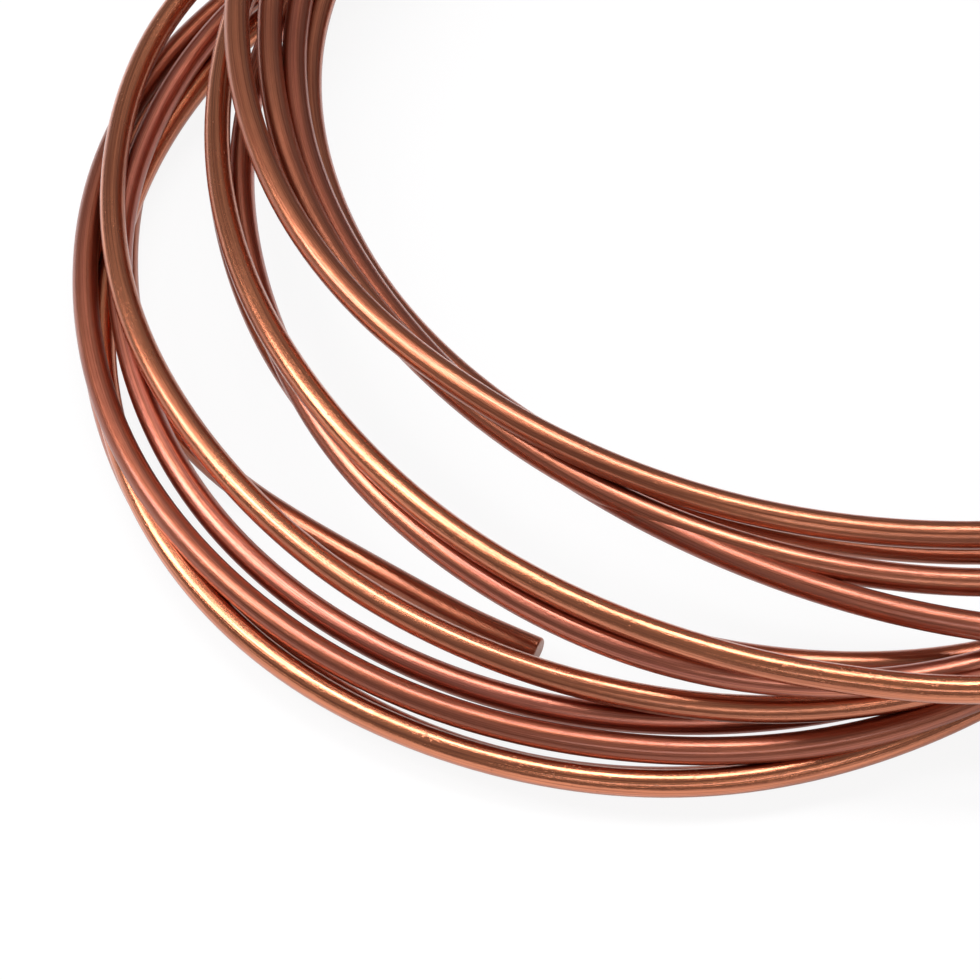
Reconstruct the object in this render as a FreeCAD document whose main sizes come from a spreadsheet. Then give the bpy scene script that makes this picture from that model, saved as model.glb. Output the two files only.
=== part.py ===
"""A loose coil of bare round copper wire, lying flat, in millimetres.

The wire is one piece. Its turns lie in three groups that have slid apart like a fanned deck: the lower
group lies flat on the ground, and the middle and the upper group each rest across the group below them
and lean down to the ground at their far side. Each group is one turned ring, whose section is the
outline of its wires, so that the turns show all round it. The rings bite a little into each other where
they cross, which makes one solid. The part's origin is the middle of its underside, +Z up.
"""
import FreeCAD
import Part
import Sketcher
import math
import os

os.makedirs("parts", exist_ok=True)
doc = FreeCAD.newDocument("copper_wire_coil")

# ---------------------------------------------------------------- driving dimensions
DIMENSIONS = {
    "wire_diameter": 3.0,    # the drawn wire
    "lay_pitch": 2.8,        # from one wire to the next in a group; under a diameter, so that they join
    "bite": 0.5,             # how far one group sinks into the group it rests on
    "lower_radius": 64.6,    # mean radius of each group's turns
    "middle_radius": 66.0,
    "upper_radius": 65.5,
    "middle_shift": 13.5,    # from the lower group's centre to the other groups' centres
    "upper_shift": 25.5,
    "fan_azimuth": 43.0,     # the way the groups have slid, in degrees from +X
}

sheet = doc.addObject("Spreadsheet::Sheet", "sizes")
for row, (alias, value) in enumerate(DIMENSIONS.items(), start=1):
    sheet.set(f"A{row}", alias)
    sheet.set(f"B{row}", str(value))
    sheet.setAlias(f"B{row}", alias)
doc.recompute()

# ---------------------------------------------------------------- derived sizes, as expressions
WIRE_RADIUS = "sizes.wire_diameter / 2"
ROW_RISE = "sizes.lay_pitch * sqrt(3) / 2"

# The wires round the outside of each group's section, anticlockwise: how many pitches out from the
# group's mean radius, and which row. Wires of the upper row lie in the hollows of the lower row.
LOWER_WIRES = [(-1, 0), (0, 0), (1, 0), (0.5, 1), (0, 2), (-0.5, 1)]
MIDDLE_WIRES = [(-0.5, 0), (0.5, 0), (0, 1)]
UPPER_WIRES = [(-0.75, 0), (0.25, 0), (0.75, 1), (-0.25, 1)]


def outermost(radius, wires):
    """The radius of the outermost wire of a group's lower row."""
    pitches_out = max(out for out, row in wires if row == 0)
    return f"({radius} + {pitches_out} * sizes.lay_pitch)"


def thickness(wires):
    """How thick a group is, from the ground to the top of its upper row."""
    rows_up = max(row for out, row in wires)
    return f"(sizes.wire_diameter + {rows_up} * {ROW_RISE})"


def crossing(shift, radius, other_radius):
    """How far before a ring's centre it crosses another ring, which lies shift behind it. Rings of very
    unlike sizes don't cross, so this is kept within the ring, and at most a quarter of its radius past
    its centre, for such a ring can't lean steeper than that."""
    met = f"(({shift}) ^ 2 - ({other_radius}) ^ 2 + ({radius}) ^ 2) / (2 * ({shift}))"
    return f"min(max({met}; -{radius} / 4); {radius})"


def lean_sine(lift, reach, cross):
    """The sine of the lean of a ring that is lifted at its crossing and touches down at its far side."""
    return f"(({lift}) / ({reach} + {cross}))"


middle_reach = outermost("sizes.middle_radius", MIDDLE_WIRES)
middle_cross = crossing("sizes.middle_shift", "sizes.middle_radius", "sizes.lower_radius")
middle_sine = lean_sine(f"{thickness(LOWER_WIRES)} - sizes.bite", middle_reach, middle_cross)

# The upper group rests on the middle one, whose top is lower there than at its own crossing.
upper_shift = "sizes.upper_shift - sizes.middle_shift"
upper_reach = outermost("sizes.upper_radius", UPPER_WIRES)
upper_cross = crossing(upper_shift, "sizes.upper_radius", "sizes.middle_radius")
middle_lift = f"({middle_reach} - ({upper_shift}) + {upper_cross}) * {middle_sine}"
middle_top = f"{middle_lift} + {thickness(MIDDLE_WIRES)}"
upper_sine = lean_sine(f"{middle_top} - sizes.bite", upper_reach, upper_cross)


# ---------------------------------------------------------------- the coil
def origin_plane(body, role):
    """The body's own origin plane of that role."""
    return next(feature for feature in body.Origin.OriginFeatures if feature.Role == role)


def section_outline(sketch, radius, wires):
    """Draws the outline of touching round wires, one arc for each, and ties it to the sheet."""
    wire_radius = DIMENSIONS["wire_diameter"] / 2
    pitch = DIMENSIONS["lay_pitch"]
    mean_radius = DIMENSIONS[radius]
    rise = pitch * math.sqrt(3) / 2
    centres = [FreeCAD.Vector(mean_radius + out * pitch, wire_radius + row * rise) for out, row in wires]
    notches = []
    for here, onward in zip(centres, centres[1:] + centres[:1]):
        along = onward - here
        outward = FreeCAD.Vector(along.y, -along.x).normalize()
        depth = math.sqrt(wire_radius ** 2 - (along.Length / 2) ** 2)
        notches.append((here + onward) / 2 + outward * depth)
    for index, centre in enumerate(centres):
        start, end = notches[index - 1] - centre, notches[index] - centre
        circle = Part.Circle(centre, FreeCAD.Vector(0, 0, 1), wire_radius)
        first, last = math.atan2(start.y, start.x), math.atan2(end.y, end.x)
        sketch.addGeometry(Part.ArcOfCircle(circle, first, last), False)
    for index, (out, row) in enumerate(wires):
        following = (index + 1) % len(wires)
        centre = centres[index]
        sketch.addConstraint(Sketcher.Constraint("Coincident", index, 2, following, 1))
        bound_sizes = (
            (("Radius", index, wire_radius), WIRE_RADIUS),
            (("DistanceX", -1, 1, index, 3, centre.x), f"sizes.{radius} + {out} * sizes.lay_pitch"),
            (("DistanceY", -1, 1, index, 3, centre.y), f"{WIRE_RADIUS} + {row} * {ROW_RISE}"),
        )
        for arguments, expression in bound_sizes:
            number = sketch.addConstraint(Sketcher.Constraint(*arguments))
            sketch.setExpression(f"Constraints[{number}]", expression)


def add_ring(body, name, radius, wires, shift="0", reach="0", sine="0"):
    """Turns one group's section about its own axis, which stands off along +X and leans that way."""
    sketch = body.newObject("Sketcher::SketchObject", f"{name}_section")
    sketch.AttachmentSupport = [(origin_plane(body, "XZ_Plane"), "")]
    sketch.MapMode = "FlatFace"
    upright = FreeCAD.Rotation(FreeCAD.Vector(0, 0, 1), 0)
    sketch.AttachmentOffset = FreeCAD.Placement(FreeCAD.Vector(), upright)
    sketch.setExpression("AttachmentOffset.Base.x", shift)
    sketch.setExpression("AttachmentOffset.Base.y", f"{reach} * {sine} + {WIRE_RADIUS} * (1 - cos(asin({sine})))")
    sketch.setExpression("AttachmentOffset.Rotation.Angle", f"-asin({sine})")
    section_outline(sketch, radius, wires)
    ring = body.newObject("PartDesign::Revolution", f"{name}_turns")
    ring.Profile = sketch
    ring.ReferenceAxis = (sketch, ["V_Axis"])
    ring.Angle = 360


coil = doc.addObject("PartDesign::Body", "copper_wire_coil")
coil.Label = "copper_wire_coil"
add_ring(coil, "lower", "lower_radius", LOWER_WIRES)
add_ring(coil, "middle", "middle_radius", MIDDLE_WIRES, "sizes.middle_shift", middle_reach, middle_sine)
add_ring(coil, "upper", "upper_radius", UPPER_WIRES, "sizes.upper_shift", upper_reach, upper_sine)
doc.recompute()

# The coil is turned to its real heading and its box is stood on the origin.
heading = FreeCAD.Rotation(FreeCAD.Vector(0, 0, 1), DIMENSIONS["fan_azimuth"])
coil.Placement = FreeCAD.Placement(FreeCAD.Vector(), heading)
box = coil.Shape.optimalBoundingBox(False, False)
to_origin = FreeCAD.Vector(-box.Center.x, -box.Center.y, -box.ZMin)
coil.Placement = FreeCAD.Placement(to_origin, heading)
doc.recompute()

# ---------------------------------------------------------------- checks and files
for thing in doc.Objects:
    if "Invalid" in thing.State or "Error" in thing.State:
        raise RuntimeError(f"{thing.Name} failed: {thing.State}")
if coil.Shape.isNull() or not coil.Shape.isValid() or len(coil.Shape.Solids) != 1:
    raise RuntimeError("copper_wire_coil is not one valid solid")

coil.Shape.exportStep(f"parts/{coil.Label}.step")
box = coil.Shape.optimalBoundingBox(False, False)
print(f"copper_wire_coil: {coil.Shape.Volume / 1000:.2f} cm3, {len(coil.Shape.Faces)} faces")
print(f"box {box.XMin:.3f} {box.YMin:.3f} {box.ZMin:.3f} to {box.XMax:.3f} {box.YMax:.3f} {box.ZMax:.3f}")
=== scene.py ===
"""A loose coil of bare round copper wire: one continuous length, wound from its free end inside the lowest turns
up to the last turn on top, each turn resting on the ones below. Lengths are in metres unless a name ends in _mm."""
import math

import bpy
import numpy as np
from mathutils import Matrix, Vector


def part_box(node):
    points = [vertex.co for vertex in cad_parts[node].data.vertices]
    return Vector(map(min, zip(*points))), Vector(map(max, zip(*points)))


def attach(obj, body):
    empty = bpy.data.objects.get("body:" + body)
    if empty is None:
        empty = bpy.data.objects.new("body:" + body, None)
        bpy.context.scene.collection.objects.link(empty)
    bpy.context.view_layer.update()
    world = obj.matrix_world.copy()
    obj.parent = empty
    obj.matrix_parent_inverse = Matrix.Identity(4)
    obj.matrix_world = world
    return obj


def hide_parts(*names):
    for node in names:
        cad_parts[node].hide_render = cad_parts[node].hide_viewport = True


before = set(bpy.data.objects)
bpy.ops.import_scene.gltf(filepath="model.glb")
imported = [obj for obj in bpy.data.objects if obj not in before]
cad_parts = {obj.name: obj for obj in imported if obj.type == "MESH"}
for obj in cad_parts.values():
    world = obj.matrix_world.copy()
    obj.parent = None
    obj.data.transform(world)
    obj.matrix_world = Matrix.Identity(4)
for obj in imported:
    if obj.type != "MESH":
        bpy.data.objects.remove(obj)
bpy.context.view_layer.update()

# The wire
WIRE_RADIUS = 0.0015
NODE = "copper_wire_coil"

# Every turn as it lies over the near side of the coil, from the lowest to the top one, in millimetres: the
# middle of the turn across and along, its radius, how much it is oval, and the azimuth of the oval's long way
# in degrees; then its finish from 0 to 1: brown, which is tarnish and also painted shade darkening the turns that
# lie under others, and pink with fresh oxide.
TURNS = [
    # middle x, middle y, radius, oval, azimuth, brown (tarnish and painted shade), pink
    (-11.0, -11.5, 70.5, 2.0, -47, 0.55, 0.25),
    (-18.8, -15.5, 67.5, 1.8, 84, 0.35, 0.35),
    (-16.0, -18.2, 67.3, 2.0, 53, 0.15, 0.10),
    (-15.3, -14.2, 69.8, 0.4, 25, 0.85, 0.35),
    (-14.9, -12.5, 66.8, 1.0, 60, 0.60, 0.85),
    (-13.7, -10.9, 68.9, 3.0, -48, 0.30, 0.15),
    (-3.4, -2.3, 70.2, 4.0, -72, 0.55, 0.30),
    (-6.0, -11.8, 64.4, 4.3, -73, 0.60, 0.65),
    (8.5, -2.3, 79.1, 1.1, -61, 0.15, 0.10),
    (9.3, 2.4, 67.6, 1.9, -29, 0.55, 0.25),
    (21.7, 2.0, 80.6, 4.0, -30, 0.80, 0.45),
    (13.2, 10.2, 78.8, 1.5, -75, 0.55, 0.35),
    (10.6, 9.8, 77.1, 1.7, -12, 0.50, 0.15),
]
POINTS_PER_TURN = 60
START_AZIMUTH = 249.0        # the free end, on the near side
FINISH_AZIMUTH = -48.0       # the other end, on the far side of the top turn
TURN_HOLDS_TO = 140.0        # past this azimuth a turn passes into the next one
NEXT_HOLDS_FROM = -60.0
FREE_END_SPRING_MM = 8.8     # the free end has sprung this far inside its turn,
FREE_END_LEAVES = 243.0      # from this azimuth to the wire's tip,
FREE_END_HOLDS_TO = 186.0    # and its turn has its own shape again from this azimuth on
FAR_AZIMUTH = 38.0           # round this azimuth the turns lie side by side on the table, as a fan
FAR_HALF_WIDTH = 126.0
LOWEST_FAR = (-17.0, -17.0, 66.5)     # the middle and the radius of that fan's lowest turn, and of its top one
TOP_FAR = (2.0, -4.0, 61.0)
NESTING = (0.0, 0.5, -1.2)   # of three turns there, two lie on the table and the third between and on them
WAVER_MM = 0.14              # how far the wire wanders from a true curve, over these wavelengths
WAVER_LENGTHS_MM = (47.0, 71.0, 113.0)

# How the wire lies on itself
TOUCH_MM = 3.0
STIFF_MM = 14.0
SAG_MM = 0.012
SETTLING_PASSES = 160

# Camera and light
AIM_MM = (-38.0, -51.0, 8.0)     # in the turns' own millimetres
ELEVATION = 53.0
DISTANCE = 0.360
LENS = 120.3
SENSOR = 36.0


def eased(share):
    """0 below 0, 1 above 1, and 6t^5 - 15t^4 + 10t^3 between, which leaves and arrives without a bend."""
    t = np.clip(share, 0.0, 1.0)
    return t * t * t * (t * (6.0 * t - 15.0) + 10.0)


def swell(azimuth, middle, half_width):
    """A broad hump of height 1 round an azimuth: 1 less the cube of a sine that is 1 half_width degrees away."""
    away = np.abs((azimuth - middle + 180.0) % 360.0 - 180.0)
    return np.where(away < half_width, 1.0 - np.sin(away / half_width * math.pi / 2) ** 3, 0.0)


def turn_numbers(azimuth):
    """Which turn each azimuth lies on: a whole number over the near side, easing to the next over the far side."""
    passing = TURN_HOLDS_TO - NEXT_HOLDS_FROM
    starts = TURN_HOLDS_TO - 360.0 * np.arange(len(TURNS) - 1)
    return eased((starts[None, :] - azimuth[:, None]) / passing).sum(axis=1)


def plan_of_wire():
    """The wire seen from above, in mm. Its azimuth runs down evenly; its radius is that of its turn, plus the
    turn's oval as the cosine of twice the azimuth, less the free end's spring. On the far side the middle and
    the radius ease to those of the fan, whose middles step from the lowest turn's to the top turn's,
    every third one nested."""
    turned = (START_AZIMUTH - FINISH_AZIMUTH) / 360.0 + len(TURNS) - 1
    count = int(round(turned * POINTS_PER_TURN)) + 1
    run = np.linspace(0.0, turned, count)
    azimuth = START_AZIMUTH - 360.0 * run
    number = turn_numbers(azimuth)
    table = np.array(TURNS, float)
    values = [np.interp(number, np.arange(len(TURNS)), column) for column in table.T]
    middle_x, middle_y, radius, oval, oval_azimuth, tarnish_and_shade_per_turn, pink = values
    angle = np.radians(azimuth)
    radius = radius + oval * np.cos(2.0 * (angle - np.radians(oval_azimuth)))
    far = swell(azimuth, FAR_AZIMUTH, FAR_HALF_WIDTH)
    passed = np.round((FAR_AZIMUTH - azimuth) / 360.0).astype(int)
    fan = (passed + np.array(NESTING)[passed % len(NESTING)]) / (len(TURNS) - 1)
    far_x, far_y, far_radius = ((1 - fan) * low + fan * top for low, top in zip(LOWEST_FAR, TOP_FAR))
    middle_x += far * (far_x - middle_x)
    middle_y += far * (far_y - middle_y)
    radius += far * (far_radius - radius)
    spring = (azimuth - FREE_END_HOLDS_TO) / (FREE_END_LEAVES - FREE_END_HOLDS_TO)
    radius = radius - FREE_END_SPRING_MM * eased(spring)
    arc = np.radians(360.0 * run) * 70.0
    for order, wavelength in enumerate(WAVER_LENGTHS_MM):
        radius = radius + WAVER_MM / 2 * np.sin(arc / wavelength * 2 * math.pi + 1.7 * order)
    x = middle_x + radius * np.cos(angle)
    y = middle_y + radius * np.sin(angle)
    return run, number, x, y, tarnish_and_shade_per_turn, pink


def heights_of_wire(run, x, y):
    """The wire's height, in mm. Where two turns cross or touch in plan, the later rests on the earlier: higher by
    the third side of a triangle on the plan distance and one wire. Between, a stiff wire spans in a smooth line,
    so the heights are smoothed with a bell of STIFF_MM, let down a little, and lifted back to where they rest."""
    floor = TOUCH_MM / 2
    apart = np.hypot(x[:, None] - x[None, :], y[:, None] - y[None, :])
    later = run[:, None] - run[None, :] > 0.6
    above, below = np.nonzero((apart < TOUCH_MM) & later)
    rise = np.sqrt(TOUCH_MM ** 2 - apart[above, below] ** 2)
    step = np.hypot(np.diff(x), np.diff(y)).mean()
    reach = int(3 * STIFF_MM / step)
    bell = np.exp(-0.5 * (np.arange(-reach, reach + 1) * step / STIFF_MM) ** 2)
    bell /= bell.sum()
    z = np.full(len(x), floor)
    for _ in range(SETTLING_PASSES):
        rests = np.full(len(x), floor)
        np.maximum.at(rests, above, z[below] + rise)
        spanned = np.convolve(np.pad(z, reach, mode="edge"), bell, "valid") - SAG_MM
        z = np.maximum(rests, spanned)
    return z


def route_line(points):
    """The points of the smooth NURBS line that has the route's points as its control points."""
    curve = bpy.data.curves.new("route", "CURVE")
    curve.dimensions = "3D"
    curve.resolution_u = 4
    spline = curve.splines.new("NURBS")
    spline.points.add(len(points) - 1)
    spline.points.foreach_set("co", np.column_stack([points, np.ones(len(points))]).ravel())
    spline.order_u = 3
    spline.use_endpoint_u = True
    holder = bpy.data.objects.new("route", curve)
    bpy.context.scene.collection.objects.link(holder)
    line = bpy.data.meshes.new_from_object(holder)
    found = np.zeros(len(line.vertices) * 3)
    line.vertices.foreach_get("co", found)
    bpy.data.objects.remove(holder)
    bpy.data.curves.remove(curve)
    bpy.data.meshes.remove(line)
    return found.reshape(-1, 3)


run, number, plan_x, plan_y, tarnish_and_shade_per_turn, pink = plan_of_wire()
settled = np.column_stack([plan_x, plan_y, heights_of_wire(run, plan_x, plan_y)]) / 1000.0
cad_low, cad_high = (np.array(corner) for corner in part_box(NODE))
lowest, highest = settled.min(axis=0), settled.max(axis=0)
TO_PART = (cad_low + cad_high) / 2 - (lowest + highest) / 2
TO_PART[2] = 0.0
LINE = route_line(settled + TO_PART)


def camera():
    """Looks along +Y and down at the near side of the coil."""
    data = bpy.data.cameras.new("camera")
    data.lens = LENS
    data.sensor_width = SENSOR
    data.clip_start = 0.01
    thing = bpy.data.objects.new("camera", data)
    lean = math.radians(ELEVATION)
    aim = np.array(AIM_MM) / 1000.0 + TO_PART
    thing.location = aim + DISTANCE * np.array([0.0, -math.cos(lean), math.sin(lean)])
    thing.rotation_euler = (math.pi / 2 - lean, 0.0, 0.0)
    bpy.context.scene.collection.objects.link(thing)
    bpy.context.scene.camera = thing


camera()


# ---------------------------------------------------------------- the wire's surface

SIDES = 24
RIM = 0.00030                # the cut's rim is rounded over this length
RIM_RINGS = 5
FACE_RINGS = (0.80, 0.55, 0.25)


def lengths_along(points):
    """The length run along a line of points, at each of them."""
    return np.concatenate([[0.0], np.cumsum(np.linalg.norm(np.diff(points, axis=0), axis=1))])


def end_rings():
    """The rings that close a cut end, from the middle of its face out to the wire: how far each lies in from the
    face and its share of the wire's radius. The rim is a quarter of an ellipse, and the face is flat."""
    bend = np.linspace(0.0, math.pi / 2, RIM_RINGS)
    rim_in = RIM * (1.0 - np.sin(bend))
    rim_share = 1.0 - RIM / WIRE_RADIUS * (1.0 - np.cos(bend[::-1]))
    face_share = np.array(FACE_RINGS[::-1]) * rim_share[0]
    inward = np.concatenate([np.full(len(FACE_RINGS), 0.0), rim_in[::-1][::-1]])
    return inward, np.concatenate([face_share, rim_share])


def wire_mesh(points, tarnish_and_shade_at, pink_at):
    """A circle carried along the line: each ring stands across the line's direction, its side way level and its
    other way up from the line. Both ends close through end_rings to a point in the middle of the cut."""
    along = lengths_along(points)
    total = along[-1]
    inward, share = end_rings()
    first = RIM * (1.0 - np.sin(np.linspace(0.0, math.pi / 2, RIM_RINGS)))
    head_at = np.concatenate([np.zeros(len(FACE_RINGS)), np.sort(first)])
    head_share = share
    inside = along[(along > RIM * 2) & (along < total - RIM * 2)]
    stations = np.concatenate([head_at, inside, total - head_at[::-1]])
    shares = np.concatenate([head_share, np.ones(len(inside)), head_share[::-1]])
    centre = np.column_stack([np.interp(stations, along, points[:, axis]) for axis in range(3)])
    slope = np.gradient(points, along, axis=0)
    ahead = np.column_stack([np.interp(stations, along, slope[:, axis]) for axis in range(3)])
    ahead /= np.linalg.norm(ahead, axis=1, keepdims=True)
    side = np.cross(ahead, [0.0, 0.0, 1.0])
    side /= np.linalg.norm(side, axis=1, keepdims=True)
    lift = np.cross(side, ahead)
    around = np.arange(SIDES) * 2 * math.pi / SIDES
    radius = WIRE_RADIUS * shares[:, None, None]
    circle = np.cos(around)[None, :, None] * side[:, None, :] + np.sin(around)[None, :, None] * lift[:, None, :]
    skin = centre[:, None, :] + radius * circle
    rings = len(stations)
    vertices = np.concatenate([skin.reshape(-1, 3), centre[:1], centre[-1:]])
    ring, spoke = np.meshgrid(np.arange(rings - 1), np.arange(SIDES), indexing="ij")
    beside = (spoke + 1) % SIDES
    quads = np.stack([ring * SIDES + spoke, ring * SIDES + beside,
                      (ring + 1) * SIDES + beside, (ring + 1) * SIDES + spoke], axis=-1).reshape(-1, 4)
    spokes = np.arange(SIDES)
    turned = (spokes + 1) % SIDES
    first_cap = np.column_stack([turned, spokes, np.full(SIDES, rings * SIDES)])
    last = (rings - 1) * SIDES
    last_cap = np.column_stack([last + spokes, last + turned, np.full(SIDES, rings * SIDES + 1)])
    mesh = bpy.data.meshes.new(NODE)
    mesh.from_pydata(vertices, [], quads.tolist() + first_cap.tolist() + last_cap.tolist())
    mesh.validate()
    mesh.shade_smooth()
    flat = np.column_stack([np.tile(np.cos(around), rings), np.tile(np.sin(around), rings)]) * WIRE_RADIUS
    laid = np.column_stack([flat, np.repeat(stations, SIDES)])
    laid = np.concatenate([laid, [[0, 0, 0]], [[0, 0, total]]])
    add_values(mesh, "drawn", "FLOAT_VECTOR", laid)
    cut = np.where(shares < 0.93, 1.0, 0.0)
    # The brown values along the wire carry tarnish and painted shade on the turns that lie under others.
    for name, values in (("cut", cut),
                         ("tarnish_and_shade_per_turn", np.interp(stations, np.linspace(0, total, len(tarnish_and_shade_at)), tarnish_and_shade_at)),
                         ("pink", np.interp(stations, np.linspace(0, total, len(pink_at)), pink_at))):
        spread = np.concatenate([np.repeat(values, SIDES), values[:1], values[-1:]])
        add_values(mesh, name, "FLOAT", spread)
    return mesh


def add_values(mesh, name, kind, values):
    """Puts an array of numbers or vectors on the mesh's points under a name."""
    attribute = mesh.attributes.new(name, kind, "POINT")
    field = "vector" if kind == "FLOAT_VECTOR" else "value"
    attribute.data.foreach_set(field, np.asarray(values, np.float32).ravel())


# ---------------------------------------------------------------- materials


def linear(hex_colour):
    """An sRGB hex colour as linear red, green, blue and full alpha."""
    parts = [int(hex_colour[i:i + 2], 16) / 255.0 for i in (1, 3, 5)]
    return tuple(c / 12.92 if c <= 0.04045 else ((c + 0.055) / 1.055) ** 2.4 for c in parts) + (1.0,)


def add(tree, kind, settings=None, **links):
    """Adds a node with its settings and its links. A link's name is the socket's, with _ for a space, or in1 and
    so on for a socket by its number, and its value is an output socket or the value to set there."""
    node = tree.nodes.new(kind)
    for name, value in (settings or {}).items():
        setattr(node, name, value)
    for name, value in links.items():
        socket = node.inputs[int(name[2:])] if name[:2] == "in" and name[2:].isdigit() \
            else node.inputs[name.replace("_", " ")]
        if isinstance(value, bpy.types.NodeSocket):
            tree.links.new(value, socket)
        else:
            socket.default_value = value
    return node


def ramp(tree, factor, *stops):
    """A colour ramp over a factor, from stops of place and grey or colour."""
    node = add(tree, "ShaderNodeValToRGB", Fac=factor)
    points = node.color_ramp.elements
    while len(points) < len(stops):
        points.new(0.5)
    for point, (place, colour) in zip(points, stops):
        point.position = place
        point.color = colour if not isinstance(colour, float) else (colour, colour, colour, 1.0)
    return node.outputs["Color"]


def drawn_copper():
    """Bare copper wire, drawn through a die and handled: semi-bright, orange where it is clean, brown where it
    has tarnished and as painted shade on the turns that lie under others, pink where it was heated, with draw lines
    and scratches along it and small pits."""
    material = bpy.data.materials.new("drawn_bare_copper")
    material.use_nodes = True
    tree = material.node_tree
    tree.nodes.clear()
    laid = add(tree, "ShaderNodeAttribute", {"attribute_name": "drawn"}).outputs["Vector"]
    tarnish_and_shade_at = add(tree, "ShaderNodeAttribute", {"attribute_name": "tarnish_and_shade_per_turn"}).outputs["Fac"]
    pink_at = add(tree, "ShaderNodeAttribute", {"attribute_name": "pink"}).outputs["Fac"]
    cut_at = add(tree, "ShaderNodeAttribute", {"attribute_name": "cut"}).outputs["Fac"]

    def stretched(across_mm, along_mm):
        """The skin's own coordinates, scaled so that a pattern repeats over these sizes in millimetres."""
        scale = (1000.0 / across_mm, 1000.0 / across_mm, 1000.0 / along_mm)
        return add(tree, "ShaderNodeMapping", Vector=laid, Scale=scale).outputs["Vector"]

    def noise(across_mm, along_mm, detail=3.0, rough=0.55):
        return add(tree, "ShaderNodeTexNoise", Vector=stretched(across_mm, along_mm), Scale=1.0, Detail=detail,
                   Roughness=rough).outputs["Fac"]

    def math_node(operation, first, second, clamp=False):
        return add(tree, "ShaderNodeMath", {"operation": operation, "use_clamp": clamp},
                   in0=first, in1=second).outputs[0]

    def mix(factor, first, second, blend="MIX"):
        return add(tree, "ShaderNodeMix", {"data_type": "RGBA", "blend_type": blend},
                   in0=factor, in6=first, in7=second).outputs[2]

    # Draw lines are a few hundredths of a millimetre wide; they are drawn 0.12 mm wide, so that they show.
    draw_lines = noise(0.12, 24.0, 4.0, 0.6)
    streaks = noise(0.45, 40.0, 2.0, 0.5)
    clouds = noise(3.5, 16.0, 4.0, 0.6)
    patches = noise(1.1, 3.4, 5.0, 0.65)
    scuffs = noise(0.22, 0.75, 3.0, 0.7)

    # Painted shade: each turn's brown value darkens the turns that lie under others, on top of tarnish; the clouds
    # add tarnish at random.
    tarnish_and_painted_shade = math_node("ADD", math_node("MULTIPLY", tarnish_and_shade_at, 0.85), math_node("MULTIPLY", clouds, 0.9))
    tarnish_and_painted_shade = ramp(tree, math_node("SUBTRACT", tarnish_and_painted_shade, 0.42), (0.0, 0.0), (0.75, 1.0))
    rosy = math_node("MULTIPLY", pink_at, ramp(tree, streaks, (0.35, 0.35), (0.7, 1.0)))
    colour = mix(tarnish_and_painted_shade, linear("#E08E66"), linear("#96563D"))
    colour = mix(rosy, colour, linear("#BC6E60"))
    colour = mix(ramp(tree, draw_lines, (0.38, 0.55), (0.56, 0.0)), colour, linear("#6E3320"))
    specks = ramp(tree, scuffs, (0.60, 0.0), (0.72, 1.0))
    scuffed = math_node("MULTIPLY", specks, ramp(tree, patches, (0.52, 0.0), (0.66, 0.75)))
    colour = mix(scuffed, colour, linear("#6B3E2E"))
    colour = mix(cut_at, colour, linear("#B48C7C"))

    roughness = math_node("MULTIPLY_ADD", tarnish_and_painted_shade, 0.16)
    roughness.node.inputs[2].default_value = 0.21
    roughness = math_node("ADD", roughness, math_node("MULTIPLY", scuffed, 0.25))
    roughness = math_node("ADD", roughness, math_node("MULTIPLY", cut_at, 0.2), True)

    lines = add(tree, "ShaderNodeBump", Strength=0.30, Distance=0.00003, Height=draw_lines)
    softer = add(tree, "ShaderNodeBump", Strength=0.35, Distance=0.00008, Height=streaks,
                 Normal=lines.outputs["Normal"])
    pitted = add(tree, "ShaderNodeBump", {"invert": True}, Strength=0.6, Distance=0.00004, Height=scuffed,
                 Normal=softer.outputs["Normal"])
    dents = add(tree, "ShaderNodeBump", Strength=0.5, Distance=0.0001, Height=patches,
                Normal=pitted.outputs["Normal"])
    shader = add(tree, "ShaderNodeBsdfPrincipled", Base_Color=colour, Metallic=1.0, Roughness=roughness,
                 Normal=dents.outputs["Normal"], Coat_Weight=0.45, Coat_Roughness=0.14,
                 Coat_Normal=lines.outputs["Normal"])
    add(tree, "ShaderNodeOutputMaterial", Surface=shader.outputs["BSDF"])
    return material


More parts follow.
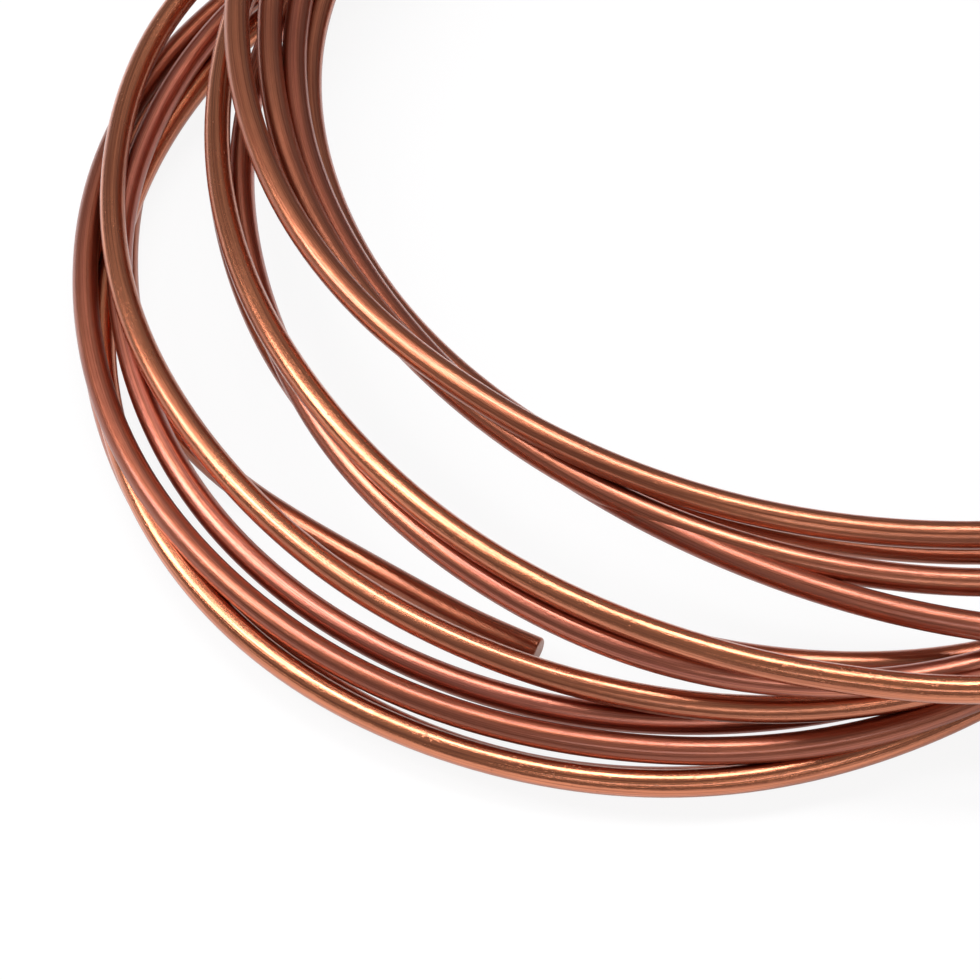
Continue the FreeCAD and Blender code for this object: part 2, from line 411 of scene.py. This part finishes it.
def pale_floor():
    """A matt white table top. What the camera and the wire's gloss see of it is lifted most of the way to white,
    so it stays a plain background with only a faint shadow."""
    material = bpy.data.materials.new("matt_white_table")
    material.use_nodes = True
    tree = material.node_tree
    tree.nodes.clear()
    matt = add(tree, "ShaderNodeBsdfDiffuse", Color=linear("#F4F3F6"))
    white = add(tree, "ShaderNodeEmission", Color=linear("#FFFFFF"), Strength=1.0)
    path = add(tree, "ShaderNodeLightPath")
    glossy = add(tree, "ShaderNodeMath", {"operation": "MULTIPLY"}, in0=path.outputs["Is Glossy Ray"], in1=0.35)
    camera_part = add(tree, "ShaderNodeMath", {"operation": "MULTIPLY"}, in0=path.outputs["Is Camera Ray"], in1=0.9)
    seen = add(tree, "ShaderNodeMath", {"operation": "MAXIMUM"}, in0=glossy.outputs[0], in1=camera_part.outputs[0])
    both = add(tree, "ShaderNodeMixShader", in0=seen.outputs[0], in1=matt.outputs[0], in2=white.outputs[0])
    add(tree, "ShaderNodeOutputMaterial", Surface=both.outputs[0])
    return material


# ---------------------------------------------------------------- the piece

coil = bpy.data.objects.new(NODE + "_wire", wire_mesh(LINE, tarnish_and_shade_per_turn, pink))
bpy.context.scene.collection.objects.link(coil)
coil.data.materials.append(drawn_copper())
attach(coil, "root")
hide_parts(NODE)


# ---------------------------------------------------------------- floor and light

FLOOR_SIZE = 6.0


def floor():
    """A square table top under the coil."""
    mesh = bpy.data.meshes.new("table_top")
    half = FLOOR_SIZE / 2
    mesh.from_pydata([(-half, -half, 0), (half, -half, 0), (half, half, 0), (-half, half, 0)], [], [(0, 1, 2, 3)])
    thing = bpy.data.objects.new("table_top", mesh)
    bpy.context.scene.collection.objects.link(thing)
    mesh.materials.append(pale_floor())


def softbox(name, place, size, watts, aim=(0.0, 0.0, 0.0)):
    """A rectangular soft lamp that faces the aim point."""
    data = bpy.data.lights.new(name, "AREA")
    data.shape = "RECTANGLE"
    data.size, data.size_y = size
    data.energy = watts
    thing = bpy.data.objects.new(name, data)
    away = np.array(place) - np.array(aim)
    away = away / np.linalg.norm(away)
    thing.location = place
    thing.rotation_euler = (math.acos(away[2]), 0.0, math.atan2(away[1], away[0]) + math.pi / 2)
    bpy.context.scene.collection.objects.link(thing)


def studio():
    """Soft lamps over and beside the coil, in a grey room."""
    world = bpy.data.worlds.new("studio")
    bpy.context.scene.world = world
    world.use_nodes = True
    world.node_tree.nodes["Background"].inputs["Color"].default_value = linear("#8A8685")
    world.node_tree.nodes["Background"].inputs["Strength"].default_value = 1.0
    softbox("lamp_above", (0.0, 0.25, 1.1), (0.9, 0.26), 8.5)
    softbox("lamp_left", (-0.9, 0.1, 0.9), (0.3, 0.9), 9.5)
    softbox("lamp_front", (0.2, -1.1, 0.9), (1.2, 0.2), 3.0)


floor()
studio()
bpy.context.scene.view_settings.view_transform = "Standard"
